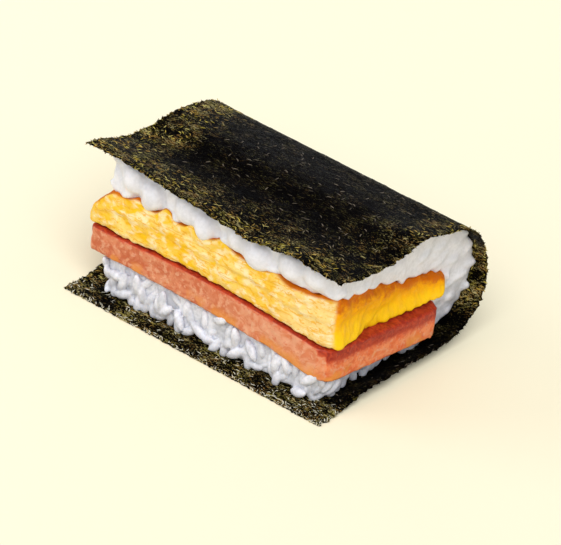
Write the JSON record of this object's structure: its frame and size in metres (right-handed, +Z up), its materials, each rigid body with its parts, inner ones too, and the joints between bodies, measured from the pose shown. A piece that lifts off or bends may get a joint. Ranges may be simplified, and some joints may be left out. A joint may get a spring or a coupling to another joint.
{
  "type": "onigiri rice ball",
  "caption": "folded onigiri: a sheet of nori folded round a bed of rice with a slice of luncheon meat and a slab of omelette, open along the front",
  "frame": {"origin": "middle of the bounding box's underside, on the table", "axes": "X runs along the fold, +Y points from the open front to the fold, +Z up"},
  "size_m": [0.1054, 0.0814, 0.0522],
  "materials": {
    "nori_sheet": "satin",
    "rice_bed": "satin",
    "luncheon_meat": "satin",
    "omelette": "satin"
  },
  "bodies": {
    "root": {"nori_sheet": "nori_sheet", "rice_bed": "rice_bed", "luncheon_meat": "luncheon_meat", "omelette": "omelette"}
  },
  "joints": []
}
